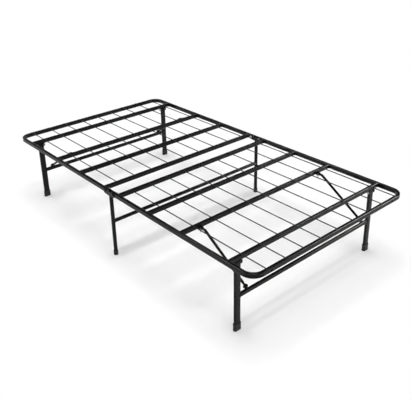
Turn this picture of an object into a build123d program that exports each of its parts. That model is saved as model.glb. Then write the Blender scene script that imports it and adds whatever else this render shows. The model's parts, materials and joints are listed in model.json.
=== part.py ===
from build123d import *
import os
from math import atan2, cos, degrees, hypot, radians, sin

# A folding steel bed frame. Two half decks hinge on a middle pair of legs, and each half
# carries a folding pair of end legs that two braces hold open.
# Origin on the floor at the middle, +X to the foot end, +Z up, left side at -Y, sizes in mm.
# Every foot-end piece is built here and the head end is its mirror image.

# Overall sizes
LENGTH = 1905.0
WIDTH = 998.0
RIM_TOP = 355.0

# Rectangular tube of the rim and the bars
TUBE_W = 16.0
TUBE_H = 22.0
TUBE_EDGE_R = 4.0
TUBE_WALL = 1.2
CORNER_R = 52.0
CORNER_TURN = 90.0
DENT_DEPTH = 5.0
DENT_HALF_H = 8.0
DENT_HALF_ANGLE = 40.0

# Bars and deck wires
LEG_BAR_INSET = 145.5
BRACE_BAY = 290.0
HINGE_BAR_OFFSET = 27.5
WIRE_D = 5.0
WIRE_COUNT = 9
WIRE_EDGE_INSET = 69.0
WIRE_END_INSET = 3.0
WELD_GAP = 0.05

# Fold hinge over each middle leg
HINGE_X = 32.0
RAIL_OVERRUN = 12.0
SHEET = 2.5
SIDE_GAP = 0.5
SADDLE_REACH = 12.0
SADDLE_TOP_INSET = 4.0
SADDLE_DROP = 3.5
SADDLE_END_DROP = 0.5
SADDLE_FOOT_L = 30.0
SADDLE_FLOOR_L = 24.0
SADDLE_CORNER_R = 5.0
BOLT_D = 8.0
RUN_CLEAR = 0.05
NUT_AF = 13.0
NUT_H = 6.8
HEAD_H = 4.5
BOLT_TAIL = 2.0
HINGE_HEAD_H = 2.5
HINGE_HEAD_D = 14.0
HINGE_HEAD_ROUND = 2.0
SLEEVE_D = 12.0

# Middle legs
MID_LEG_D = 19.0
MID_CROSSBAR_D = 18.5
MID_CROSSBAR_Z = 187.0
LEG_WALL = 1.2

# End legs
LEG_W = 33.0
LEG_T = 14.0
LEG_INSET = 52.3
LEG_TOP_SOLID = 17.0
CLEVIS_WEB = 2.0
CLEVIS_L = 20.0
CLEVIS_H = 19.5
CLEVIS_CORNER_R = 9.4
CROSSBAR_T = 14.0
CROSSBAR_H = 19.0
CROSSBAR_Z = 165.0

# Foot caps
CAP_WALL = 2.6
CAP_FLOOR = 4.0
CAP_H = 34.0
MID_CAP_WALL = 1.9
MID_CAP_H = 24.0
CAP_CLEAR = 0.1
CAP_EDGE = 1.2

# Braces
BRACE_INSET = 52.7
BRACE_D = 12.0
BRACE_WALL = 1.2
TAB_T = 5.0
TAB_W = 14.0
TAB_GAP = 0.4
TAB_FLAT = 9.0
TAB_TAPER = 9.0
KINK_RUN = 22.5
KINK_TILT = -5.0
KINK_BEND_R = 16.0
PIN_D = 6.0
PIN_HEAD_D = 10.0
PIN_HEAD_H = 2.0
PIN_TAIL = 7.0
LUG_REACH = 11.0
LUG_NOSE = 6.0
LUG_WEB = 2.0
LUG_H = 18.0
LUG_DROP = 4.0
LUG_CORNER_R = 5.0
EAR_BASE = 2.0
EAR_L = 16.0
EAR_BACK = 7.0
EAR_TOP = 9.0
EAR_CORNER_R = 5.0
SEAT_SETBACK = 6.0
SLOT_TILT = 25.0
SLOT_CLEAR = 0.3
BRACE_NUT_AF = 10.0
BRACE_NUT_H = 4.5
NUT_GAP = 0.5

# Wire clip on each brace pin
CLIP_D = 2.0
CLIP_UP = 5.0
CLIP_DOWN = 14.0
CLIP_LOOP_R = 2.6
CLIP_CLEAR = 0.2
CLIP_OFFSET = 8.5

# Holes for a headboard or footboard in each end rim
BOARD_HOLE_D = 9.0
BOARD_HOLE_SPACING = 796.0

# Where the pieces sit, worked out from the sizes above
RAIL_Y = WIDTH / 2 - TUBE_W / 2
END_X = LENGTH / 2 - TUBE_W / 2
TUBE_Z = RIM_TOP - TUBE_H / 2
RIM_BOTTOM = RIM_TOP - TUBE_H
RAIL_END_X = HINGE_X - RAIL_OVERRUN
HINGE_BAR_X = HINGE_X + HINGE_BAR_OFFSET
LEG_X = LENGTH / 2 - LEG_BAR_INSET
BRACE_BAR_X = LEG_X - BRACE_BAY
MIDDLE_BAR_X = (HINGE_BAR_X + BRACE_BAR_X) / 2
BAR_L = 2 * RAIL_Y - TUBE_W
LEG_Y = RAIL_Y - LEG_INSET
BRACE_Y = LEG_Y - BRACE_INSET
LEG_PIVOT_Z = RIM_BOTTOM - CLEVIS_WEB - SIDE_GAP - LEG_T / 2
CROSSBAR_TOP = CROSSBAR_Z + CROSSBAR_H / 2
SADDLE_BOTTOM = RIM_BOTTOM - SADDLE_DROP
BRACE_TOP_X = BRACE_BAR_X + TUBE_W / 2 + LUG_REACH
BRACE_TOP_Z = TUBE_Z - LUG_DROP
SEAT_X = LEG_X - SEAT_SETBACK
SEAT_Z = CROSSBAR_TOP + EAR_BASE + SIDE_GAP + TAB_W / 2
EAR_IN = TAB_T / 2 + TAB_GAP
EAR_OUT = EAR_IN + SHEET
SIDES = {"left": -1, "right": 1}


def along_y(x, y, z):
    """A work plane at a point whose normal runs along +Y, with X across it and Z up."""
    return Plane(origin=(x, y, z), x_dir=(-1, 0, 0), z_dir=(0, 1, 0))


def rod(start, end, radius):
    """A round bar from one point to another."""
    run = Vector(*end) - Vector(*start)
    return extrude(Plane(origin=start, z_dir=tuple(run)) * Circle(radius), run.length)


def pipe(start, end, radius, wall):
    """A round tube with open ends."""
    return rod(start, end, radius) - rod(start, end, radius - wall)


def box_tube(x, z, width, height, wall, length):
    """A rectangular tube across the bed with rounded edges and open ends."""
    plane = along_y(x, 0, z)
    outer = extrude(plane * RectangleRounded(width, height, TUBE_EDGE_R), length / 2, both=True)
    bore_w = width - 2 * wall
    bore_h = height - 2 * wall
    bore = extrude(plane * RectangleRounded(bore_w, bore_h, TUBE_EDGE_R - wall), length / 2, both=True)
    return outer - bore


def plate_xz(points, corner_r, y_low, y_high):
    """A flat plate drawn as an outline in X and Z, with rounded corners, between two values of Y."""
    face = make_face(Polyline(*[(x, 0, z) for x, z in points], close=True))
    face = fillet(face.vertices(), corner_r)
    slab = extrude(face, 1.0, dir=(0, 1, 0))
    return Pos(0, y_low, 0) * scale(slab, (1, y_high - y_low, 1))


def hex_nut(x, y, z, flats, height, bore, out):
    """A hexagon nut on an axis along Y, standing from y outward (out is +1 or -1)."""
    nut = extrude(along_y(x, y, z) * RegularPolygon(flats / 2, 6, major_radius=False), out * height)
    return nut - rod((x, y, z), (x, y + out * height, z), bore)


def bend_dents(grow):
    """The hollows that bending leaves in the outer wall of both corners, deeper by grow."""
    outer_r = CORNER_R + TUBE_W / 2
    deep = outer_r - DENT_DEPTH
    across = outer_r * cos(radians(DENT_HALF_ANGLE))
    shift = (outer_r**2 - deep**2) / (2 * (across - deep))
    radius = deep - shift
    step = CORNER_R - shift * cos(radians(CORNER_TURN / 2))
    x = END_X - step
    y = RAIL_Y - step
    rise = DENT_DEPTH * (DENT_HALF_H / (TUBE_H / 2 - TUBE_EDGE_R)) ** 2
    edge = radius + rise - grow
    curve = ThreePointArc((edge, 0, -DENT_HALF_H), (radius - grow, 0, 0), (edge, 0, DENT_HALF_H))
    far = edge + TUBE_W
    upper = [(edge, 0, DENT_HALF_H), (far, 0, DENT_HALF_H)]
    lower = [(far, 0, -DENT_HALF_H), (edge, 0, -DENT_HALF_H)]
    rest = Polyline(*upper, *lower)
    face = Pos(x, y, TUBE_Z) * make_face([curve, rest])
    right = revolve(face, Axis((x, y, 0), (0, 0, 1)), CORNER_TURN)
    return right + mirror(right, about=Plane.XZ)


def half_rim():
    """The bent tube of one half deck, with hinge holes in the rail ends and board holes in the end."""
    corners = [(RAIL_END_X, -RAIL_Y, TUBE_Z), (END_X, -RAIL_Y, TUBE_Z)]
    corners += [(END_X, RAIL_Y, TUBE_Z), (RAIL_END_X, RAIL_Y, TUBE_Z)]
    path = FilletPolyline(*corners, radius=CORNER_R)
    start = Plane(origin=corners[0], x_dir=(0, 1, 0), z_dir=(1, 0, 0))
    outer = sweep(start * RectangleRounded(TUBE_W, TUBE_H, TUBE_EDGE_R), path=path) - bend_dents(0)
    bore_w = TUBE_W - 2 * TUBE_WALL
    bore_h = TUBE_H - 2 * TUBE_WALL
    bore = sweep(start * RectangleRounded(bore_w, bore_h, TUBE_EDGE_R - TUBE_WALL), path=path)
    rim = outer - (bore - bend_dents(TUBE_WALL))
    rim -= rod((HINGE_X, -WIDTH, TUBE_Z), (HINGE_X, WIDTH, TUBE_Z), BOLT_D / 2 + RUN_CLEAR)
    for side in SIDES.values():
        y = side * BOARD_HOLE_SPACING / 2
        rim -= rod((END_X - TUBE_W, y, TUBE_Z), (END_X + TUBE_W, y, TUBE_Z), BOARD_HOLE_D / 2)
    return rim


def deck_wires():
    """Straight wires welded on top of the end rim and the four bars."""
    z = RIM_TOP + WIRE_D / 2 + WELD_GAP
    span = 2 * (RAIL_Y - WIRE_EDGE_INSET)
    first = HINGE_BAR_X - TUBE_W / 2 + WIRE_END_INSET
    last = LENGTH / 2 - WIRE_END_INSET
    rows = [span * (i / (WIRE_COUNT - 1) - 0.5) for i in range(WIRE_COUNT)]
    return [rod((first, y, z), (last, y, z), WIRE_D / 2) for y in rows]


def rail_sleeve(side):
    """A spacer sleeve inside the rail end, so that the hinge bolt does not crush the tube."""
    half = TUBE_W / 2 - TUBE_WALL
    y = side * RAIL_Y
    bolt_r = BOLT_D / 2 + RUN_CLEAR
    ends = ((HINGE_X, y - half, TUBE_Z), (HINGE_X, y + half, TUBE_Z))
    return pipe(*ends, SLEEVE_D / 2, SLEEVE_D / 2 - bolt_r)


def hinge_saddle(side):
    """A folded sheet U over the leg, with a cheek on each side of the rail ends."""
    reach = HINGE_X + SADDLE_REACH
    top = RIM_TOP - SADDLE_TOP_INSET
    half = SADDLE_FOOT_L / 2
    low_end = RIM_BOTTOM - SADDLE_END_DROP
    outline = [(-reach, top), (reach, top), (reach, low_end), (half, SADDLE_BOTTOM)]
    outline += [(-half, SADDLE_BOTTOM), (-reach, low_end)]
    gap = TUBE_W / 2 + SIDE_GAP
    y = side * RAIL_Y
    saddle = plate_xz(outline, SADDLE_CORNER_R, y - gap - SHEET, y - gap)
    saddle += plate_xz(outline, SADDLE_CORNER_R, y + gap, y + gap + SHEET)
    saddle += Pos(0, y, SADDLE_BOTTOM + SHEET / 2) * Box(SADDLE_FLOOR_L, 2 * gap + SHEET, SHEET)
    for x in (-HINGE_X, HINGE_X):
        saddle -= rod((x, y - WIDTH, TUBE_Z), (x, y + WIDTH, TUBE_Z), BOLT_D / 2 + RUN_CLEAR)
    return saddle


def hinge_bolt(x, side):
    """A low round-headed bolt from outside, long enough for the lock nut inside."""
    cheek = TUBE_W / 2 + SIDE_GAP + SHEET
    outer_y = side * (RAIL_Y + cheek)
    inner_y = side * (RAIL_Y - cheek - NUT_H - BOLT_TAIL)
    head = extrude(along_y(x, outer_y, TUBE_Z) * Circle(HINGE_HEAD_D / 2), side * HINGE_HEAD_H)
    rim_edge = head.edges().filter_by(GeomType.CIRCLE).sort_by(Axis.Y)[-1 if side > 0 else 0]
    head = fillet(rim_edge, HINGE_HEAD_ROUND)
    return head + rod((x, outer_y, TUBE_Z), (x, inner_y, TUBE_Z), BOLT_D / 2)


def hinge_nut(x, side):
    """The lock nut on the inner side of the rail."""
    y = side * (RAIL_Y - TUBE_W / 2 - SIDE_GAP - SHEET)
    return hex_nut(x, y, TUBE_Z, NUT_AF, NUT_H, BOLT_D / 2, -side)


def mid_leg(side):
    """A round tube from the foot cap to the underside of the saddle."""
    y = side * RAIL_Y
    return pipe((0, y, CAP_FLOOR), (0, y, SADDLE_BOTTOM), MID_LEG_D / 2, LEG_WALL)


def mid_crossbar():
    """A round tube between the middle legs, its ends shaped to them."""
    bar = pipe((0, -RAIL_Y, MID_CROSSBAR_Z), (0, RAIL_Y, MID_CROSSBAR_Z), MID_CROSSBAR_D / 2, LEG_WALL)
    for side in SIDES.values():
        y = side * RAIL_Y
        bar -= rod((0, y, 0), (0, y, RIM_TOP), MID_LEG_D / 2 + WELD_GAP)
    return bar


def mid_cap(side):
    """A round plastic cap pushed over the end of a middle leg."""
    y = side * RAIL_Y
    cap = rod((0, y, 0), (0, y, MID_CAP_H), MID_LEG_D / 2 + CAP_CLEAR + MID_CAP_WALL)
    cap = chamfer(cap.edges().filter_by(GeomType.CIRCLE), CAP_EDGE)
    return cap - rod((0, y, CAP_FLOOR), (0, y, MID_CAP_H), MID_LEG_D / 2 + CAP_CLEAR)


def oval(x, y, z_low, z_high, grow):
    """A flat-oval upright, wider across the bed, larger than the leg by grow all round."""
    face = Plane(origin=(x, y, z_low)) * SlotOverall(LEG_W + 2 * grow, LEG_T + 2 * grow, rotation=90)
    return extrude(face, z_high - z_low)


def end_leg(side):
    """A flat-oval tube, closed and rounded at the top around its pivot bolt."""
    y = side * LEG_Y
    leg = oval(LEG_X, y, CAP_FLOOR, LEG_PIVOT_Z, 0.0)
    top = oval(LEG_X, y, LEG_PIVOT_Z - LEG_T, LEG_PIVOT_Z + LEG_T, 0.0)
    ends = ((LEG_X, y - LEG_W, LEG_PIVOT_Z), (LEG_X, y + LEG_W, LEG_PIVOT_Z))
    leg += top & rod(*ends, LEG_T / 2)
    leg -= oval(LEG_X, y, CAP_FLOOR, LEG_PIVOT_Z - LEG_TOP_SOLID, -LEG_WALL)
    return leg - rod(*ends, BOLT_D / 2 + RUN_CLEAR)


def leg_clevis(side):
    """A folded sheet bracket under the leg bar, with a cheek on each side of the leg."""
    y = side * LEG_Y
    half = CLEVIS_L / 2
    low = RIM_BOTTOM - CLEVIS_H
    gap = LEG_W / 2 + SIDE_GAP
    clevis = Pos(LEG_X, y, RIM_BOTTOM - CLEVIS_WEB / 2) * Box(CLEVIS_L, 2 * (gap + SHEET), CLEVIS_WEB)
    for y_low in (y - gap - SHEET, y + gap):
        cheek = Pos(LEG_X, y_low + SHEET / 2, (low + RIM_BOTTOM) / 2) * Box(CLEVIS_L, SHEET, CLEVIS_H)
        lower = cheek.edges().filter_by(Axis.Y).sort_by(Axis.Z)[:2]
        clevis += fillet(lower, CLEVIS_CORNER_R)
    ends = ((LEG_X, y - LEG_W, LEG_PIVOT_Z), (LEG_X, y + LEG_W, LEG_PIVOT_Z))
    return clevis - rod(*ends, BOLT_D / 2 + RUN_CLEAR)


def leg_bolt(side):
    """The hexagon-headed bolt that the leg swings on, its head on the outer side."""
    cheek = LEG_W / 2 + SIDE_GAP + SHEET
    outer_y = side * (LEG_Y + cheek)
    inner_y = side * (LEG_Y - cheek - NUT_H - BOLT_TAIL)
    bolt = rod((LEG_X, outer_y, LEG_PIVOT_Z), (LEG_X, inner_y, LEG_PIVOT_Z), BOLT_D / 2)
    face = along_y(LEG_X, outer_y, LEG_PIVOT_Z) * RegularPolygon(NUT_AF / 2, 6, major_radius=False)
    return bolt + extrude(face, side * HEAD_H)


def leg_nut(side):
    """The lock nut on the inner side of the clevis."""
    y = side * (LEG_Y - LEG_W / 2 - SIDE_GAP - SHEET)
    return hex_nut(LEG_X, y, LEG_PIVOT_Z, NUT_AF, NUT_H, BOLT_D / 2, -side)


def leg_crossbar():
    """A rectangular tube between the end legs, its ends shaped to the legs' round edges."""
    bar = box_tube(LEG_X, CROSSBAR_Z, CROSSBAR_T, CROSSBAR_H, LEG_WALL, 2 * LEG_Y)
    for side in SIDES.values():
        bar -= oval(LEG_X, side * LEG_Y, 0, RIM_TOP, WELD_GAP)
    return bar


def end_cap(side):
    """A flat-oval plastic cap pushed over the end of a leg."""
    y = side * LEG_Y
    cap = oval(LEG_X, y, 0, CAP_H, CAP_CLEAR + CAP_WALL)
    ends = cap.faces().sort_by(Axis.Z)
    cap = chamfer(ends[0].edges() + ends[-1].edges(), CAP_EDGE)
    return cap - oval(LEG_X, y, CAP_FLOOR, CAP_H, CAP_CLEAR)


def brace_lug(side):
    """A sheet U on the end-facing side of the brace bar, with a cheek on each side of the brace."""
    y = side * BRACE_Y
    back = BRACE_BAR_X + TUBE_W / 2
    nose = BRACE_TOP_X + LUG_NOSE
    low = TUBE_Z - LUG_DROP - LUG_H / 2
    high = low + LUG_H
    lug = Pos(back + LUG_WEB / 2, y, (low + high) / 2) * Box(LUG_WEB, 2 * EAR_OUT, LUG_H)
    for y_low in (y - EAR_OUT, y + EAR_IN):
        cheek = Pos((back + nose) / 2, y_low + SHEET / 2, (low + high) / 2) * Box(nose - back, SHEET, LUG_H)
        outer = cheek.edges().filter_by(Axis.Y).sort_by(Axis.X)[-2:]
        lug += fillet(outer, LUG_CORNER_R)
    ends = ((BRACE_TOP_X, y - LEG_W, BRACE_TOP_Z), (BRACE_TOP_X, y + LEG_W, BRACE_TOP_Z))
    return lug - rod(*ends, PIN_D / 2 + RUN_CLEAR)


def brace_pin(side):
    """A headed clevis pin with a cross hole in its tail for the wire clip."""
    y = side * BRACE_Y
    face = y + EAR_OUT
    tail = y - EAR_OUT - PIN_TAIL
    pin = rod((BRACE_TOP_X, tail, BRACE_TOP_Z), (BRACE_TOP_X, face, BRACE_TOP_Z), PIN_D / 2)
    top = face + PIN_HEAD_H
    pin += rod((BRACE_TOP_X, face, BRACE_TOP_Z), (BRACE_TOP_X, top, BRACE_TOP_Z), PIN_HEAD_D / 2)
    hole_y = y - CLIP_OFFSET
    low = (BRACE_TOP_X, hole_y, BRACE_TOP_Z - PIN_D)
    high = (BRACE_TOP_X, hole_y, BRACE_TOP_Z + PIN_D)
    return pin - rod(low, high, CLIP_D / 2 + CLIP_CLEAR)


def brace_clip(side):
    """A bent spring wire: one straight leg through the pin, one leg back up beside it."""
    y = side * BRACE_Y - CLIP_OFFSET
    x = BRACE_TOP_X
    away = x + PIN_D / 2 + CLIP_D / 2 + CLIP_CLEAR
    bottom = BRACE_TOP_Z - CLIP_DOWN
    loop_x = x + 2 * CLIP_LOOP_R
    straight = Line((x, y, BRACE_TOP_Z + CLIP_UP), (x, y, bottom))
    loop = ThreePointArc((x, y, bottom), (x + CLIP_LOOP_R, y, bottom - CLIP_LOOP_R), (loop_x, y, bottom))
    back = Line((loop_x, y, bottom), (away, y, BRACE_TOP_Z + CLIP_LOOP_R))
    start = Plane(origin=(x, y, BRACE_TOP_Z + CLIP_UP), z_dir=(0, 0, -1))
    wire = sweep(start * Circle(CLIP_D / 2), path=Wire([straight, loop]))
    return wire + rod(back @ 0, back @ 1, CLIP_D / 2)


def brace_geometry():
    """The brace's kink point and the direction of its long run, in X and Z."""
    tilt = radians(KINK_TILT)
    kink = (BRACE_TOP_X + KINK_RUN * cos(tilt), BRACE_TOP_Z + KINK_RUN * sin(tilt))
    run = (SEAT_X - kink[0], SEAT_Z - kink[1])
    length = hypot(*run)
    return kink, (run[0] / length, run[1] / length)


def flat_end(y, pivot, heading):
    """A flattened tube end: a round-nosed tab about a pivot, tapering out to the round tube."""
    angle = degrees(atan2(heading[1], heading[0]))
    plane = Plane(origin=(pivot[0], y, pivot[1]), x_dir=(heading[0], 0, heading[1]), z_dir=(0, -1, 0))
    nose = plane * Circle(TAB_W / 2) + plane * Pos(TAB_FLAT / 2, 0) * Rectangle(TAB_FLAT, TAB_W)
    tab = extrude(nose, TAB_T / 2, both=True)
    z_dir = (cos(radians(angle)), 0, sin(radians(angle)))
    inner = Plane(origin=(pivot[0] + TAB_FLAT * heading[0], y, pivot[1] + TAB_FLAT * heading[1]),
                  x_dir=(0, 1, 0), z_dir=z_dir)
    outer_run = TAB_FLAT + TAB_TAPER
    outer = Plane(origin=(pivot[0] + outer_run * heading[0], y, pivot[1] + outer_run * heading[1]),
                  x_dir=(0, 1, 0), z_dir=z_dir)
    taper = loft([outer * Circle(BRACE_D / 2), inner * Ellipse(TAB_T / 2, TAB_W / 2)])
    return tab + taper


def brace(side):
    """A round tube, bent near its upper end and flattened at both ends for the pin and the bolt."""
    y = side * BRACE_Y
    kink, run = brace_geometry()
    tilt = (cos(radians(KINK_TILT)), sin(radians(KINK_TILT)))
    flat_run = TAB_FLAT + TAB_TAPER
    first = (BRACE_TOP_X + flat_run * tilt[0], y, BRACE_TOP_Z + flat_run * tilt[1])
    last = (SEAT_X - flat_run * run[0], y, SEAT_Z - flat_run * run[1])
    path = FilletPolyline(first, (kink[0], y, kink[1]), last, radius=KINK_BEND_R)
    start = Plane(origin=first, z_dir=(tilt[0], 0, tilt[1]))
    whole = sweep(start * Circle(BRACE_D / 2), path=path)
    whole += flat_end(y, (BRACE_TOP_X, BRACE_TOP_Z), tilt)
    whole += flat_end(y, (SEAT_X, SEAT_Z), (-run[0], -run[1]))
    bore_start = (kink[0] + BRACE_D * run[0], y, kink[1] + BRACE_D * run[1])
    whole -= rod(bore_start, last, BRACE_D / 2 - BRACE_WALL)
    for x, z in ((BRACE_TOP_X, BRACE_TOP_Z), (SEAT_X, SEAT_Z)):
        whole -= rod((x, y - LEG_W, z), (x, y + LEG_W, z), PIN_D / 2 + RUN_CLEAR)
    return whole


def brace_bolt(side):
    """The cross bolt at the brace's lower end, with its head and nut outside the ears."""
    y = side * BRACE_Y
    start = EAR_OUT + NUT_GAP
    bolt = rod((SEAT_X, y - start - BRACE_NUT_H, SEAT_Z), (SEAT_X, y + start, SEAT_Z), PIN_D / 2)
    for out in (-1, 1):
        hexagon = RegularPolygon(BRACE_NUT_AF / 2, 6, major_radius=False)
        bolt += extrude(along_y(SEAT_X, y + out * start, SEAT_Z) * hexagon, out * BRACE_NUT_H)
    return bolt


def brace_ears(side):
    """A sheet U on the crossbar. Each ear has a slot, open outward, that the brace's bolt drops into."""
    y = side * BRACE_Y
    left = SEAT_X - EAR_BACK
    right = left + EAR_L
    top = SEAT_Z + EAR_TOP
    ears = Pos((left + right) / 2, y, CROSSBAR_TOP + EAR_BASE / 2) * Box(EAR_L, 2 * EAR_OUT, EAR_BASE)
    for y_low in (y - EAR_OUT, y + EAR_IN):
        plate = Pos((left + right) / 2, y_low + SHEET / 2, (CROSSBAR_TOP + top) / 2)
        plate = plate * Box(EAR_L, SHEET, top - CROSSBAR_TOP)
        upper = plate.edges().filter_by(Axis.Y).sort_by(Axis.Z)[-2:]
        ears += fillet(upper, EAR_CORNER_R)
    tilt = radians(SLOT_TILT)
    width = PIN_D + 2 * SLOT_CLEAR
    plane = Plane(origin=(SEAT_X, y, SEAT_Z), x_dir=(cos(tilt), 0, sin(tilt)), z_dir=(0, -1, 0))
    mouth = plane * Circle(width / 2) + plane * Pos(EAR_L / 2, 0) * Rectangle(EAR_L, width)
    return ears - extrude(mouth, 2 * EAR_OUT, both=True)


def both(make):
    """The left and the right copy of a piece."""
    return [make(side) for side in SIDES.values()]


def bar(x):
    """One cross bar of the deck."""
    return box_tube(x, TUBE_Z, TUBE_W, TUBE_H, TUBE_WALL, BAR_L)


def solids(shape):
    """Every solid in a piece or a list of pieces, as one compound."""
    pieces = shape if isinstance(shape, list) else [shape]
    found = [solid for piece in pieces for solid in piece.solids()]
    return Compound(children=found) if len(found) > 1 else found[0]


nodes = {}

# The middle leg frame
for name, side in SIDES.items():
    nodes[f"mid_leg_{name}"] = mid_leg(side)
    nodes[f"mid_cap_{name}"] = mid_cap(side)
    nodes[f"hinge_saddle_{name}"] = hinge_saddle(side)
nodes["mid_crossbar"] = mid_crossbar()
nodes["hinge_bolts"] = [hinge_bolt(x, side) for x in (-HINGE_X, HINGE_X) for side in SIDES.values()]
nodes["hinge_nuts"] = [hinge_nut(x, side) for x in (-HINGE_X, HINGE_X) for side in SIDES.values()]

# The foot half, its legs and its braces, then the head half as the mirror image
half = {
    "rim": half_rim(),
    "leg_bar": bar(LEG_X),
    "brace_bar": bar(BRACE_BAR_X),
    "middle_bar": bar(MIDDLE_BAR_X),
    "hinge_bar": bar(HINGE_BAR_X),
    "wires": deck_wires(),
    "rail_sleeves": both(rail_sleeve),
    "leg_bolts": both(leg_bolt),
    "leg_nuts": both(leg_nut),
    "brace_lugs": both(brace_lug),
    "brace_pins": both(brace_pin),
    "brace_clips": both(brace_clip),
    "leg_crossbar": leg_crossbar(),
}
for name, side in SIDES.items():
    half[f"leg_clevis_{name}"] = leg_clevis(side)
    half[f"leg_{name}"] = end_leg(side)
    half[f"leg_cap_{name}"] = end_cap(side)
    half[f"brace_ears_{name}"] = brace_ears(side)
    half[f"brace_{name}"] = brace(side)
    half[f"brace_bolt_{name}"] = brace_bolt(side)
for name, shape in half.items():
    pieces = shape if isinstance(shape, list) else [shape]
    nodes[f"foot_{name}"] = pieces
    nodes[f"head_{name}"] = [mirror(piece, about=Plane.YZ) for piece in pieces]

os.makedirs("parts", exist_ok=True)
for name, shape in nodes.items():
    export_step(solids(shape), f"parts/{name}.step")
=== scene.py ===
import json
from math import cos, pi, radians, sin, sqrt

import bpy
from mathutils import Matrix, Vector


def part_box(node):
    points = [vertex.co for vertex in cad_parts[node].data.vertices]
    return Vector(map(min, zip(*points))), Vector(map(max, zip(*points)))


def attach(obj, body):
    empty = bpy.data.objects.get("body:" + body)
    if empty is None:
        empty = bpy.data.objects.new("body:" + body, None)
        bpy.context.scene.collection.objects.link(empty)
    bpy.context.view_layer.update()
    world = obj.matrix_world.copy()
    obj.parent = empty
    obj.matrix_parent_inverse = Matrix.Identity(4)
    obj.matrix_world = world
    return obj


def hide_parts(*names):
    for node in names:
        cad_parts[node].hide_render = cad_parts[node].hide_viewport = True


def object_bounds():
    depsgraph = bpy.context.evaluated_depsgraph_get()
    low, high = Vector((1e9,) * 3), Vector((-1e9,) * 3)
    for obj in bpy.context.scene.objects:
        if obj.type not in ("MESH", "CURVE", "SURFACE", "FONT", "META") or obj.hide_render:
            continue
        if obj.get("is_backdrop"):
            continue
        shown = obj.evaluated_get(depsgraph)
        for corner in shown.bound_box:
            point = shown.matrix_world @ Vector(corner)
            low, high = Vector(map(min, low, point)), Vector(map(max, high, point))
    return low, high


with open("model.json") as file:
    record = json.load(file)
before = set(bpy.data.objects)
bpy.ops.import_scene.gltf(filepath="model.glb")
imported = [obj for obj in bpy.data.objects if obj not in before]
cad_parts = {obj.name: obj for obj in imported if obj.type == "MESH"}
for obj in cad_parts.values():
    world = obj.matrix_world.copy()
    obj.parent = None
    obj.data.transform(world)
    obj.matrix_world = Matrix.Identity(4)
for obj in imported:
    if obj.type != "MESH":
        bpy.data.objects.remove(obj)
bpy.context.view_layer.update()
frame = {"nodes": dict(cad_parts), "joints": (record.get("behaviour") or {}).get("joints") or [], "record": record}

# Rims: each half deck has one outer frame of rectangular steel tube, bent cold at both corners so
# that its outer wall buckles inward there. Like all the steel here it is coated with black powder
# and baked after welding.
MM = 0.001
ENDS = {"head": -1, "foot": 1}
SIDES = {"left": -1, "right": 1}
SMOOTH_ANGLE = radians(42)
WELD_TOGETHER = 1e-6
SAME_PLANE = radians(0.2)
COAT_DARK = (0.0030, 0.0028, 0.0027)
COAT_LIGHT = (0.0055, 0.0050, 0.0048)
COAT_ROUGH = (0.15, 0.22)
COAT_IOR = 1.26
COAT_PEEL = 0.10
BLOTCH_SCALE = 26.0
BLOTCH_DETAIL = 3.0
PEEL_SCALE = 1100.0
PEEL_DETAIL = 2.0
PEEL_H = 0.12 * MM
CLOUD_LOW = 0.3
CLOUD_HIGH = 0.7

body_of = {}
for body, nodes in frame["record"]["behaviour"]["bodies"].items():
    for node in nodes:
        body_of[node] = body


def start_fresh():
    """Leaves nothing selected, ready for the next piece."""
    bpy.ops.object.select_all(action="DESELECT")


def pick(piece):
    """Makes the piece the one that is selected and active."""
    start_fresh()
    piece.select_set(True)
    bpy.context.view_layer.objects.active = piece


def edit_all():
    """Opens the active piece for editing with all of it selected."""
    bpy.ops.object.mode_set(mode="EDIT")
    bpy.ops.mesh.select_all(action="SELECT")


def close_edit():
    """Closes the active piece after editing."""
    bpy.ops.object.mode_set(mode="OBJECT")


def material_of(name):
    """A new material, then its nodes, links, surface shader and the place on the piece."""
    material = bpy.data.materials.new(name)
    material.use_nodes = True
    nodes = material.node_tree.nodes
    place = nodes.new("ShaderNodeTexCoord").outputs["Object"]
    return material, nodes, material.node_tree.links, nodes["Principled BSDF"], place


def spread(nodes, links, source, low, high):
    """A value that runs from low to high as the source runs over the middle of its range."""
    ramp = nodes.new("ShaderNodeMapRange")
    ramp.inputs["From Min"].default_value = CLOUD_LOW
    ramp.inputs["From Max"].default_value = CLOUD_HIGH
    ramp.inputs["To Min"].default_value = low
    ramp.inputs["To Max"].default_value = high
    links.new(source, ramp.inputs["Value"])
    return ramp.outputs["Result"]


def tint(nodes, links, source, dark, light):
    """A colour between two finishes, chosen by the source."""
    ramp = nodes.new("ShaderNodeValToRGB")
    ramp.color_ramp.elements[0].position = CLOUD_LOW
    ramp.color_ramp.elements[0].color = (*dark, 1)
    ramp.color_ramp.elements[1].position = CLOUD_HIGH
    ramp.color_ramp.elements[1].color = (*light, 1)
    links.new(source, ramp.inputs["Fac"])
    return ramp.outputs["Color"]


def noise(nodes, links, place, scale, detail):
    """Cloudy variation over the piece, with features about 1/scale metres wide."""
    cloud = nodes.new("ShaderNodeTexNoise")
    cloud.inputs["Scale"].default_value = scale
    cloud.inputs["Detail"].default_value = detail
    links.new(place, cloud.inputs["Vector"])
    return cloud.outputs["Fac"]


def bump(nodes, links, source, shader, strength, height):
    """Raises the surface by the source."""
    relief = nodes.new("ShaderNodeBump")
    relief.inputs["Strength"].default_value = strength
    relief.inputs["Distance"].default_value = height
    links.new(source, relief.inputs["Height"])
    links.new(relief.outputs["Normal"], shader.inputs["Normal"])


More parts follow.
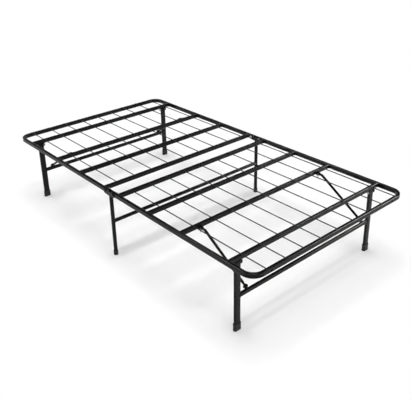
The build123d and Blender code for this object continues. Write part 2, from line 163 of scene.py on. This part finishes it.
def powder_coat(name, peel):
    """Baked black powder: a semi-gloss skin with a fine orange-peel texture and slight unevenness."""
    material, nodes, links, shader, place = material_of(name)
    blotch = noise(nodes, links, place, BLOTCH_SCALE, BLOTCH_DETAIL)
    links.new(tint(nodes, links, blotch, COAT_DARK, COAT_LIGHT), shader.inputs["Base Color"])
    links.new(spread(nodes, links, blotch, *COAT_ROUGH), shader.inputs["Roughness"])
    shader.inputs["IOR"].default_value = COAT_IOR
    grain = noise(nodes, links, place, PEEL_SCALE, PEEL_DETAIL)
    bump(nodes, links, grain, shader, peel, PEEL_H)
    return material


def finish_surface(piece, coat):
    """Smooth shading that keeps flat faces flat, and the piece's one material."""
    pick(piece)
    bpy.ops.object.shade_smooth_by_angle(angle=SMOOTH_ANGLE)
    even = piece.modifiers.new("even_shading", "WEIGHTED_NORMAL")
    even.keep_sharp = True
    bpy.ops.object.modifier_apply(modifier=even.name)
    piece.data.materials.clear()
    piece.data.materials.append(coat)


def stand_for(piece, node):
    """Puts the piece in the place of a CAD node, on the same body."""
    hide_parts(node)
    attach(piece, body_of[node])


def round_edges(piece, width, segments):
    """Rounds the sharp edges of a piece."""
    pick(piece)
    edge = piece.modifiers.new("soft_edges", "BEVEL")
    edge.width = width
    edge.segments = segments
    edge.limit_method = "ANGLE"
    edge.angle_limit = SMOOTH_ANGLE
    bpy.ops.object.modifier_apply(modifier=edge.name)


def smooth_copy(node, name, coat, soften=0.0):
    """A smooth-shaded copy of a CAD node that stands for it, with its edges rounded by soften."""
    piece = bpy.data.objects.new(name, frame["nodes"][node].data.copy())
    bpy.context.collection.objects.link(piece)
    pick(piece)
    bpy.ops.mesh.customdata_custom_splitnormals_clear()
    edit_all()
    bpy.ops.mesh.remove_doubles(threshold=WELD_TOGETHER)
    bpy.ops.mesh.dissolve_limited(angle_limit=SAME_PLANE)
    close_edit()
    if soften:
        round_edges(piece, soften, 2)
    finish_surface(piece, coat)
    stand_for(piece, node)
    return piece


black_coat = powder_coat("black_powder_coat", COAT_PEEL)
for end in ENDS:
    smooth_copy(f"{end}_rim", f"{end}_rim_tube", black_coat)

# Bars: four rectangular tubes across each half deck, butted against the rails. Each end is welded
# down both sides and underneath with a rippled bead; the top is left flush for the deck wires.
BAR_NAMES = ("leg_bar", "brace_bar", "middle_bar", "hinge_bar")
BAR_EDGE = 3.0 * MM
RIPPLE_R = 1.8 * MM
RIPPLE_STEP = 1.1 * MM
RIPPLE_SHAPE = ((0.45, -0.55), (0.85, -0.35), (1.0, 0.0), (0.8, 0.4), (0.35, 0.6))
RIPPLE_SIDES = 10
WELD_PEEL = 0.25


def shift_where(piece, chosen, shift):
    """Moves the points of a piece that are chosen by their place."""
    pick(piece)
    bpy.ops.object.mode_set(mode="EDIT")
    bpy.ops.mesh.select_mode(type="VERT")
    bpy.ops.mesh.select_all(action="DESELECT")
    close_edit()
    for point in piece.data.vertices:
        point.select = chosen(point.co)
    bpy.ops.object.mode_set(mode="EDIT")
    bpy.ops.transform.translate(value=shift)
    close_edit()


def turned(profile, sides, stretch=0.0):
    """A piece drawn up along Z through pairs of radius and height, pulled out along Y by a stretch."""
    start_fresh()
    radius, height = profile[0]
    bpy.ops.mesh.primitive_circle_add(
        vertices=sides,
        radius=radius,
        fill_type="NGON",
        location=(0, 0, height),
        rotation=(0, 0, pi / sides),
    )
    piece = bpy.context.object
    bpy.ops.object.transform_apply(location=True, rotation=True, scale=True)
    if stretch:
        shift_where(piece, lambda place: place.y > 0, (0, stretch, 0))
        shift_where(piece, lambda place: place.y < 0, (0, -stretch, 0))
    edit_all()
    for next_radius, next_height in profile[1:]:
        bpy.ops.mesh.extrude_region_move(TRANSFORM_OT_translate={"value": (0, 0, next_height - height)})
        across = next_radius / radius
        along_y = (next_radius + stretch) / (radius + stretch)
        bpy.ops.transform.resize(value=(across, along_y, 1))
        radius = next_radius
        height = next_height
    bpy.ops.mesh.select_all(action="SELECT")
    bpy.ops.mesh.normals_make_consistent(inside=False)
    close_edit()
    return piece


def copies(pattern, name, places):
    """One piece made of a copy of the pattern at each place."""
    parts = []
    for place in places:
        part = bpy.data.objects.new(name, pattern.data.copy())
        part.data.transform(place)
        bpy.context.collection.objects.link(part)
        parts.append(part)
    return joined(name, parts)


def joined(name, parts):
    """The parts joined into one piece."""
    start_fresh()
    for part in parts:
        part.select_set(True)
    bpy.context.view_layer.objects.active = parts[0]
    bpy.ops.object.join()
    whole = bpy.context.object
    whole.name = name
    return whole


def standing(start, run):
    """The turn and move that take a piece from the origin to the start, pointing along the run."""
    turn = Vector((0, 0, 1)).rotation_difference(Vector(run)).to_matrix().to_4x4()
    return Matrix.Translation(start) @ turn


def add_welds(name, paths, body):
    """Weld beads that follow each path of points ripple by ripple, on one body."""
    places = []
    for path in paths:
        for a, b in zip(path, path[1:]):
            run = Vector(b) - Vector(a)
            count = max(1, round(run.length / RIPPLE_STEP))
            for i in range(count):
                places.append(standing(Vector(a) + run * (i + 0.5) / count, run))
    welds = copies(ripple, name, places)
    finish_surface(welds, weld_coat)
    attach(welds, body)


weld_coat = powder_coat("black_coat_over_weld", WELD_PEEL)
ripple = turned([(RIPPLE_R * r, RIPPLE_R * z) for r, z in RIPPLE_SHAPE], RIPPLE_SIDES)
for end in ENDS:
    paths = []
    for bar in BAR_NAMES:
        node = f"{end}_{bar}"
        smooth_copy(node, f"{node}_tube", black_coat)
        low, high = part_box(node)
        for y in (low[1], high[1]):
            side_low = [(low[0], y, high[2] - BAR_EDGE), (low[0], y, low[2] + BAR_EDGE)]
            under = [(low[0] + BAR_EDGE, y, low[2]), (high[0] - BAR_EDGE, y, low[2])]
            side_high = [(high[0], y, low[2] + BAR_EDGE), (high[0], y, high[2] - BAR_EDGE)]
            paths.append(side_low + under + side_high)
    add_welds(f"{end}_bar_welds", paths, f"{end}_half")

# Deck wires: nine straight steel wires on each half, laid over the rim and the bars and
# resistance-welded at every crossing, which leaves a small flattened lump on each side. Their ends
# are pressed down into the bars that they stop on.
WIRE_COUNT = 9
WIRE_END = 0.6 * MM
PRESS_L = 10.0 * MM
PRESS_DEPTH = 4.2 * MM
LUMP_R = 2.2 * MM
LUMP_SHAPE = ((0.9, -0.5), (1.0, -0.1), (0.9, 0.2), (0.6, 0.45), (0.25, 0.55))
LUMP_SIDES = 12
LUMP_SQUASH = (0.8, 0.55, 1.0)
LUMP_OUT = 0.45


def spot_lump():
    """A low mound of squeezed-out steel beside a wire, at the origin."""
    lump = turned([(LUMP_R * r, LUMP_R * z) for r, z in LUMP_SHAPE], LUMP_SIDES)
    edit_all()
    bpy.ops.transform.resize(value=LUMP_SQUASH)
    close_edit()
    return lump


def press_ends(wires, low, high):
    """Presses both ends of the wires down into the tubes that they stop on."""
    pick(wires)
    for x, way in ((low[0], 1), (high[0], -1)):
        edit_all()
        bpy.ops.mesh.bisect(plane_co=(x + way * PRESS_L, 0, 0), plane_no=(1, 0, 0))
        close_edit()
    shift_where(
        wires,
        lambda place: min(place.x - low[0], high[0] - place.x) < PRESS_L / 2,
        (0, 0, -PRESS_DEPTH),
    )
    finish_surface(wires, black_coat)


lump = spot_lump()
for end, way in ENDS.items():
    node = f"{end}_wires"
    wires = smooth_copy(node, f"{end}_deck_wires", black_coat, WIRE_END)
    low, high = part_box(node)
    press_ends(wires, low, high)
    wire_d = high[2] - low[2]
    first = low[1] + wire_d / 2
    pitch = (high[1] - low[1] - wire_d) / (WIRE_COUNT - 1)
    boxes = [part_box(f"{end}_{bar}") for bar in BAR_NAMES]
    lines = [(box[0][0] + box[1][0]) / 2 for box in boxes]
    bar_w = boxes[0][1][0] - boxes[0][0][0]
    rim_out = max(abs(edge[0]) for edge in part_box(f"{end}_rim"))
    lines.append(way * (rim_out - bar_w / 2))
    spots = []
    for x in lines:
        for i in range(WIRE_COUNT):
            for side in SIDES.values():
                y = first + i * pitch + side * wire_d * LUMP_OUT
                spots.append(Matrix.Translation((x, y, low[2])))
    lumps = copies(lump, f"{end}_wire_welds", spots)
    finish_surface(lumps, weld_coat)
    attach(lumps, f"{end}_half")

# Fold hinge: a folded sheet saddle takes both rail ends between its cheeks. Each rail swings on a
# low-headed bolt with a hexagon socket, coated black, and a zinc-plated lock nut on the inner side.
SHEET_EDGE = 0.4 * MM
BOLT_D = 8.0 * MM
BOLT_SIDES = 28
BOLT_TIP = 0.8 * MM
BOLT_TAIL = 2.0 * MM
THREAD_PITCH = 1.25 * MM
THREAD_DEPTH = 0.6 * MM
THREAD_CREST = 0.25
THREAD_FALL = 0.6
THREAD_TURNS = 7
LOW_HEAD_D = 13.9 * MM
LOW_HEAD_SHAPE = ((1.0, 0.0), (1.0, 0.4), (0.94, 0.72), (0.80, 0.93), (0.62, 1.0))
SOCKET_FLATS = 5.0 * MM
SOCKET_DEPTH = 1.6 * MM
NUT_FLATS = 13.0 * MM
NUT_H = 6.8 * MM
COLLAR_H = 1.8 * MM
COLLAR_R = 5.7 * MM
COLLAR_SHAPE = ((1.0, 0.5), (0.93, 0.125), (0.84, 0.0))
HEX_SIDES = 6
HEX_EDGE = 0.6 * MM
ZINC_DARK = (0.50, 0.51, 0.53)
ZINC_LIGHT = (0.68, 0.69, 0.70)
ZINC_ROUGH = 0.25
ZINC_UNEVEN = 0.15
ZINC_SCALE = 420.0
ZINC_DETAIL = 3.0
ZINC_RELIEF = 0.05
ZINC_H = 0.1 * MM


def zinc_plate(name, dark, light, rough):
    """Zinc plating with a faint cloudy grain."""
    material, nodes, links, shader, place = material_of(name)
    cloud = noise(nodes, links, place, ZINC_SCALE, ZINC_DETAIL)
    links.new(tint(nodes, links, cloud, dark, light), shader.inputs["Base Color"])
    links.new(spread(nodes, links, cloud, rough, rough + ZINC_UNEVEN), shader.inputs["Roughness"])
    shader.inputs["Metallic"].default_value = 1.0
    bump(nodes, links, cloud, shader, ZINC_RELIEF, ZINC_H)
    return material


def shank_profile(length):
    """The outline of a bolt's shank from its threaded tip, at minus its length, up to the origin."""
    core = BOLT_D / 2 - THREAD_DEPTH
    outline = [(core, -length), (core, -length + BOLT_TIP / 2)]
    for i in range(THREAD_TURNS):
        root = -length + BOLT_TIP + i * THREAD_PITCH
        crest_end = root + THREAD_PITCH * THREAD_CREST
        fall_end = root + THREAD_PITCH * THREAD_FALL
        outline += [(BOLT_D / 2, root), (BOLT_D / 2, crest_end), (core, fall_end)]
    thread_end = -length + BOLT_TIP + THREAD_TURNS * THREAD_PITCH
    return outline + [(BOLT_D / 2, thread_end), (BOLT_D / 2, 0)]


def hexagon(flats, height):
    """A hexagon standing on the origin along Z, with its corners on the X axis and its edges rounded."""
    start_fresh()
    bpy.ops.mesh.primitive_cylinder_add(
        vertices=HEX_SIDES,
        radius=flats / 2 / cos(pi / HEX_SIDES),
        depth=height,
        location=(0, 0, height / 2),
        rotation=(0, 0, pi / HEX_SIDES),
    )
    block = bpy.context.object
    bpy.ops.object.transform_apply(location=True, rotation=True, scale=True)
    round_edges(block, HEX_EDGE, 2)
    return block


def low_bolt(length, head_h):
    """A low-headed bolt along Z, its head's underside at the origin, with a hexagon socket in the head."""
    head = [(LOW_HEAD_D / 2 * r, head_h * z) for r, z in LOW_HEAD_SHAPE]
    bolt = turned(shank_profile(length) + head, BOLT_SIDES)
    cutter = hexagon(SOCKET_FLATS, 2 * SOCKET_DEPTH)
    cutter.data.transform(Matrix.Translation((0, 0, head_h - SOCKET_DEPTH)))
    pick(bolt)
    socket = bolt.modifiers.new("hexagon_socket", "BOOLEAN")
    socket.operation = "DIFFERENCE"
    socket.object = cutter
    bpy.ops.object.modifier_apply(modifier=socket.name)
    bpy.data.objects.remove(cutter)
    return bolt


def lock_nut():
    """A lock nut standing on the origin: a chamfered hexagon with a round collar for its insert."""
    block = hexagon(NUT_FLATS, NUT_H - COLLAR_H)
    shoulder = [(COLLAR_R * r, NUT_H - COLLAR_H * drop) for r, drop in COLLAR_SHAPE]
    collar = turned([(COLLAR_R, 0)] + shoulder + [(BOLT_D / 2, NUT_H)], BOLT_SIDES)
    return joined("lock_nut", [block, collar])


zinc = zinc_plate("zinc_plate", ZINC_DARK, ZINC_LIGHT, ZINC_ROUGH)
for name in SIDES:
    smooth_copy(f"hinge_saddle_{name}", f"hinge_saddle_{name}_sheet", black_coat, SHEET_EDGE)
hinge_at = [joint["pos_m"] for joint in frame["joints"] if joint["name"] in ("head_fold", "foot_fold")]
saddle_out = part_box("hinge_saddle_right")[1][1]
bolt_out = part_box("hinge_bolts")[1][1]
nut_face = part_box("hinge_nuts")[1][1]
hinge_bolt = low_bolt(saddle_out - nut_face + NUT_H + BOLT_TAIL, bolt_out - saddle_out)
nut = lock_nut()
bolt_places = []
nut_places = []
for x, y, z in hinge_at:
    for side in SIDES.values():
        bolt_places.append(standing((x, side * saddle_out, z), (0, side, 0)))
        nut_places.append(standing((x, side * nut_face, z), (0, -side, 0)))
hinge_bolts = copies(hinge_bolt, "hinge_bolts_low_head", bolt_places)
finish_surface(hinge_bolts, black_coat)
stand_for(hinge_bolts, "hinge_bolts")
hinge_nuts = copies(nut, "hinge_lock_nuts", nut_places)
finish_surface(hinge_nuts, zinc)
stand_for(hinge_nuts, "hinge_nuts")
for end in ENDS:
    smooth_copy(f"{end}_rail_sleeves", f"{end}_rail_sleeves_steel", zinc)

# Middle legs: two round steel tubes welded up under the saddles, with one round tube between them
# whose ends are cut to fit the legs and welded all round.
RING_STEPS = 32


def tube_outline(width, height, corner):
    """Points round a tube's section, as sideways and upward distances, closed."""
    points = []
    for i in range(RING_STEPS + 1):
        turn = 2 * pi * i / RING_STEPS
        reach_x = (width / 2 - corner) * (1 if cos(turn) > 0 else -1) if width > 2 * corner else 0
        reach_z = (height / 2 - corner) * (1 if sin(turn) > 0 else -1) if height > 2 * corner else 0
        points.append((reach_x + corner * cos(turn), reach_z + corner * sin(turn)))
    return points


def fishmouth(outline, centre, side, leg_r):
    """The seam where a crossbar of that outline meets a round leg edge, whose centre line is given."""
    x, y, z = centre
    return [(x + dx, side * (y - sqrt(max(0, leg_r ** 2 - dx ** 2))), z + dz) for dx, dz in outline]


paths = []
bar_low, bar_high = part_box("mid_crossbar")
smooth_copy("mid_crossbar", "mid_crossbar_tube", black_coat)
bar_d = bar_high[0] - bar_low[0]
bar_z = (bar_low[2] + bar_high[2]) / 2
for name, side in SIDES.items():
    smooth_copy(f"mid_leg_{name}", f"mid_leg_{name}_tube", black_coat)
    low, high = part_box(f"mid_leg_{name}")
    leg_r = (high[0] - low[0]) / 2
    leg_y = (low[1] + high[1]) / 2
    paths.append(fishmouth(tube_outline(bar_d, bar_d, bar_d / 2), (0, abs(leg_y), bar_z), side, leg_r))
    ring = tube_outline(2 * leg_r, 2 * leg_r, leg_r)
    paths.append([(dx, leg_y + dy, high[2] - RIPPLE_R / 2) for dx, dy in ring])
add_welds("mid_frame_welds", paths, "mid_frame")

# End legs: flat-oval steel tubes with a closed round top, joined low down by a rectangular crossbar
# that is cut to fit their round edges and welded all round.
CROSSBAR_CORNER = 3.0 * MM
for end in ENDS:
    smooth_copy(f"{end}_leg_crossbar", f"{end}_leg_crossbar_tube", black_coat)
    bar_low, bar_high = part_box(f"{end}_leg_crossbar")
    section = tube_outline(bar_high[0] - bar_low[0], bar_high[2] - bar_low[2], CROSSBAR_CORNER)
    paths = []
    for name, side in SIDES.items():
        smooth_copy(f"{end}_leg_{name}", f"{end}_leg_{name}_tube", black_coat)
        low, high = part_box(f"{end}_leg_{name}")
        edge_r = (high[0] - low[0]) / 2
        edge_y = min(abs(low[1]), abs(high[1])) + edge_r
        centre = ((low[0] + high[0]) / 2, edge_y, (bar_low[2] + bar_high[2]) / 2)
        paths.append(fishmouth(section, centre, side, edge_r))
    add_welds(f"{end}_leg_welds", paths, f"{end}_legs")

# Leg pivots: each end leg hangs in a folded sheet clevis welded under the leg bar. It turns on a
# zinc-plated hexagon bolt with its head outside and a lock nut inside.
BEAD_END = 3.0 * MM


def hex_bolt(length, head_h):
    """A hexagon bolt along Z, with its head's underside at the origin."""
    return joined("hex_bolt", [hexagon(NUT_FLATS, head_h), turned(shank_profile(length), BOLT_SIDES)])


clevis_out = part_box("foot_leg_clevis_right")[1][1]
head_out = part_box("foot_leg_bolts")[1][1]
nut_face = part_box("foot_leg_nuts")[1][1]
leg_bolt = hex_bolt(clevis_out - nut_face + NUT_H + BOLT_TAIL, head_out - clevis_out)
for end in ENDS:
    pivot = next(joint["pos_m"] for joint in frame["joints"] if joint["name"] == f"{end}_legs_fold")
    bar_low, bar_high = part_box(f"{end}_leg_bar")
    bolt_places = []
    nut_places = []
    paths = []
    for name, side in SIDES.items():
        smooth_copy(f"{end}_leg_clevis_{name}", f"{end}_leg_clevis_{name}_sheet", black_coat, SHEET_EDGE)
        low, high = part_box(f"{end}_leg_clevis_{name}")
        for x in (bar_low[0], bar_high[0]):
            paths.append([(x, low[1] + BEAD_END, high[2]), (x, high[1] - BEAD_END, high[2])])
        bolt_places.append(standing((pivot[0], side * clevis_out, pivot[2]), (0, side, 0)))
        nut_places.append(standing((pivot[0], side * nut_face, pivot[2]), (0, -side, 0)))
    add_welds(f"{end}_clevis_welds", paths, f"{end}_half")
    leg_bolts = copies(leg_bolt, f"{end}_leg_hex_bolts", bolt_places)
    finish_surface(leg_bolts, zinc)
    stand_for(leg_bolts, f"{end}_leg_bolts")
    leg_nuts = copies(nut, f"{end}_leg_lock_nuts", nut_places)
    finish_surface(leg_nuts, zinc)
    stand_for(leg_nuts, f"{end}_leg_nuts")

# Braces: round tubes flattened at both ends, each pinned in a lug on the brace bar and held there by
# a bent wire clip. The lower end hooks with its bolt into a slotted pair of ears on the crossbar.
DULL_DARK = (0.16, 0.16, 0.17)
DULL_LIGHT = (0.26, 0.26, 0.27)
DULL_ROUGH = 0.40
dull_zinc = zinc_plate("dull_zinc_plate", DULL_DARK, DULL_LIGHT, DULL_ROUGH)
for end, way in ENDS.items():
    smooth_copy(f"{end}_brace_lugs", f"{end}_brace_lugs_sheet", black_coat, SHEET_EDGE)
    smooth_copy(f"{end}_brace_pins", f"{end}_brace_pins_steel", black_coat, SHEET_EDGE)
    smooth_copy(f"{end}_brace_clips", f"{end}_brace_clips_wire", dull_zinc)
    lug_low, lug_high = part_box(f"{end}_brace_lugs")
    bar_face = way * min(abs(lug_low[0]), abs(lug_high[0]))
    bar_low, bar_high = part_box(f"{end}_leg_crossbar")
    lug_paths = []
    ear_paths = []
    for name in SIDES:
        smooth_copy(f"{end}_brace_{name}", f"{end}_brace_{name}_tube", black_coat)
        smooth_copy(f"{end}_brace_bolt_{name}", f"{end}_brace_bolt_{name}_steel", black_coat, SHEET_EDGE)
        smooth_copy(f"{end}_brace_ears_{name}", f"{end}_brace_ears_{name}_sheet", black_coat, SHEET_EDGE)
        low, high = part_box(f"{end}_brace_ears_{name}")
        from_x = max(low[0], bar_low[0] + BAR_EDGE)
        to_x = min(high[0], bar_high[0] - BAR_EDGE)
        for y in (low[1], high[1]):
            ear_paths.append([(from_x, y, low[2]), (to_x, y, low[2])])
            lug_foot = (bar_face, y, lug_low[2] + BEAD_END)
            lug_paths.append([lug_foot, (bar_face, y, lug_high[2] - BEAD_END)])
    add_welds(f"{end}_lug_welds", lug_paths, f"{end}_half")
    add_welds(f"{end}_ear_welds", ear_paths, f"{end}_legs")

# Foot caps: boots of moulded black plastic pushed over the leg ends, with a rounded foot, slightly
# waisted walls and a raised lip at the mouth.
CAP_SIDES = 40
CAP_FLOOR = 4.0 * MM
CAP_WAIST = 0.35 * MM
CAP_LIP = 5.0 * MM
CAP_ROUND = 1.6 * MM
CAP_GAP = 0.1 * MM
ROUND_IN = 0.3
LIP_FULL = 0.9
MOUTH_START = 0.7
MOUTH_END = 0.2
PLASTIC_DARK = (0.008, 0.008, 0.008)
PLASTIC_LIGHT = (0.014, 0.014, 0.014)
PLASTIC_ROUGH = (0.38, 0.50)
PLASTIC_IOR = 1.36
FLOW_SCALE = 60.0
FLOW_DETAIL = 3.0
SPARK_SCALE = 1800.0
SPARK_DETAIL = 1.0
SPARK_RELIEF = 0.15
SPARK_H = 0.1 * MM


def moulded_plastic(name):
    """Black moulded plastic with a fine spark-eroded grain."""
    material, nodes, links, shader, place = material_of(name)
    flow = noise(nodes, links, place, FLOW_SCALE, FLOW_DETAIL)
    links.new(tint(nodes, links, flow, PLASTIC_DARK, PLASTIC_LIGHT), shader.inputs["Base Color"])
    links.new(spread(nodes, links, flow, *PLASTIC_ROUGH), shader.inputs["Roughness"])
    shader.inputs["IOR"].default_value = PLASTIC_IOR
    grain = noise(nodes, links, place, SPARK_SCALE, SPARK_DETAIL)
    bump(nodes, links, grain, shader, SPARK_RELIEF, SPARK_H)
    return material


def boot(cap_node, leg_node):
    """A moulded cap that stands for a CAD cap and takes the end of a leg in its mouth."""
    low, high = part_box(cap_node)
    leg_low, leg_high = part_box(leg_node)
    outer = (high[0] - low[0]) / 2 / cos(pi / CAP_SIDES)
    inner = ((leg_high[0] - leg_low[0]) / 2 + CAP_GAP) / cos(pi / CAP_SIDES)
    top = high[2] - low[2]
    waist = outer - CAP_WAIST
    stretch = (high[1] - low[1] - high[0] + low[0]) / 2
    edge = CAP_ROUND * ROUND_IN
    step = CAP_LIP * LIP_FULL
    profile = [(outer - CAP_ROUND, 0), (outer - edge, edge), (outer, CAP_ROUND), (outer, step)]
    profile += [(waist, CAP_LIP), (waist, top - CAP_LIP), (outer, top - step)]
    profile += [(outer, top - CAP_ROUND * MOUTH_START), (outer - edge, top - CAP_ROUND * MOUTH_END)]
    profile += [(outer - CAP_ROUND, top), (inner, top), (inner, CAP_FLOOR)]
    cap = turned(profile, CAP_SIDES, stretch)
    cap.name = f"{cap_node}_plastic"
    middle = Vector(((low[0] + high[0]) / 2, (low[1] + high[1]) / 2, low[2]))
    cap.data.transform(Matrix.Translation(middle))
    finish_surface(cap, plastic)
    stand_for(cap, cap_node)


plastic = moulded_plastic("black_moulded_plastic")
for name in SIDES:
    boot(f"mid_cap_{name}", f"mid_leg_{name}")
    for end in ENDS:
        boot(f"{end}_leg_cap_{name}", f"{end}_leg_{name}")
for pattern in (ripple, lump, hinge_bolt, leg_bolt, nut):
    bpy.data.objects.remove(pattern)

# Studio: a plain white floor that sweeps up far away, under soft light from overhead in a dim room.
# Two panels show only as reflections: one at the foot on the right, which draws a bright line along
# the upper edges, and one over the head, which does the same along the wires.
SWEEP = ((60.0, 22.0), (47.0, 12.0), (35.0, 5.5), (24.0, 1.7), (10.0, 0.0))
SWEEP_SIDES = 96
FLOOR_DARK = (0.90, 0.90, 0.90)
FLOOR_LIGHT = (0.92, 0.92, 0.92)
FLOOR_GLOW = 0.2
FLOOR_SCALE = 0.6
FLOOR_DETAIL = 2.0
ROOM_COLOUR = (1.0, 0.98, 0.96, 1)
ROOM_LIGHT = 0.05


def white_floor(name):
    """White card that keeps its shadows; what is seen or mirrored of it is partly a plain white glow."""
    material, nodes, links, shader, place = material_of(name)
    cloud = noise(nodes, links, place, FLOOR_SCALE, FLOOR_DETAIL)
    links.new(tint(nodes, links, cloud, FLOOR_DARK, FLOOR_LIGHT), shader.inputs["Base Color"])
    shader.inputs["Roughness"].default_value = 1.0
    shader.inputs["Specular IOR Level"].default_value = 0.0
    ray = nodes.new("ShaderNodeLightPath")
    seen = ray.outputs["Is Camera Ray"]
    for kind in ("Is Glossy Ray", "Is Transmission Ray"):
        either = nodes.new("ShaderNodeMath")
        either.operation = "MAXIMUM"
        links.new(seen, either.inputs[0])
        links.new(ray.outputs[kind], either.inputs[1])
        seen = either.outputs["Value"]
    share = nodes.new("ShaderNodeMath")
    share.operation = "MULTIPLY"
    share.inputs[1].default_value = FLOOR_GLOW
    links.new(seen, share.inputs[0])
    glow = nodes.new("ShaderNodeEmission")
    mix = nodes.new("ShaderNodeMixShader")
    links.new(share.outputs["Value"], mix.inputs[0])
    links.new(shader.outputs["BSDF"], mix.inputs[1])
    links.new(glow.outputs["Emission"], mix.inputs[2])
    links.new(mix.outputs["Shader"], nodes["Material Output"].inputs["Surface"])
    return material


def lamp(name, strength, spread_deg, tilt, turn, only_mirrored=False):
    """A broad soft light from far away, tilted from straight overhead and turned round the object."""
    data = bpy.data.lights.new(name, "SUN")
    data.energy = strength
    data.angle = radians(spread_deg)
    light = bpy.data.objects.new(name, data)
    light.rotation_euler = (radians(tilt), 0, radians(turn))
    light.visible_diffuse = not only_mirrored
    bpy.context.collection.objects.link(light)


start_fresh()
edge_r, edge_h = SWEEP[0]
bpy.ops.mesh.primitive_circle_add(
    vertices=SWEEP_SIDES,
    radius=edge_r,
    fill_type="NGON",
    location=(0, 0, edge_h),
)
floor = bpy.context.object
floor.name = "studio_floor"
bpy.ops.object.transform_apply(location=True, rotation=True, scale=True)
edit_all()
for (outer_r, outer_h), (inner_r, inner_h) in zip(SWEEP, SWEEP[1:]):
    bpy.ops.mesh.inset(thickness=outer_r - inner_r)
    bpy.ops.transform.translate(value=(0, 0, inner_h - outer_h))
close_edit()
floor.data.materials.append(white_floor("white_studio_floor"))
floor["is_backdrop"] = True
lamp("overhead", strength=3.05, spread_deg=30, tilt=0, turn=0)
lamp("foot_right_panel", strength=3.4, spread_deg=14, tilt=61, turn=149, only_mirrored=True)
lamp("head_panel", strength=2.0, spread_deg=20, tilt=36, turn=290, only_mirrored=True)
world = bpy.data.worlds.new("dim_room")
world.use_nodes = True
room = world.node_tree.nodes["Background"]
room.inputs["Color"].default_value = ROOM_COLOUR
room.inputs["Strength"].default_value = ROOM_LIGHT
bpy.context.scene.world = world

# Camera: a slightly long lens off the left corner of the foot end, looking down on the deck. It stands
# and turns as the photograph shows, with a small shift that sets the bed low in the frame.
IMAGE_W = 412
IMAGE_H = 400
FOCAL_PX = 610.40
AXIS_ROW_PX = 150.0
SENSOR = 36.0
AZIMUTH = 0.85782
ELEVATION = 0.40871
ROLL = -0.01902
CAMERA_PLACE = Vector((2.24582, -1.83167, 1.66804))
back = Vector((sin(AZIMUTH) * cos(ELEVATION), -cos(AZIMUTH) * cos(ELEVATION), sin(ELEVATION)))
level = Vector((cos(AZIMUTH), sin(AZIMUTH), 0))
upright = back.cross(level)
right = level * cos(ROLL) + upright * sin(ROLL)
up = upright * cos(ROLL) - level * sin(ROLL)
camera_data = bpy.data.cameras.new("camera")
camera_data.sensor_width = SENSOR
camera_data.lens = FOCAL_PX / IMAGE_W * SENSOR
camera_data.shift_y = (AXIS_ROW_PX - IMAGE_H / 2) / IMAGE_W
camera = bpy.data.objects.new("camera", camera_data)
camera.matrix_world = Matrix.Translation(CAMERA_PLACE) @ Matrix((right, up, back)).transposed().to_4x4()
bpy.context.collection.objects.link(camera)
bpy.context.scene.camera = camera
bpy.context.scene.view_settings.view_transform = "Standard"

low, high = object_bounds()
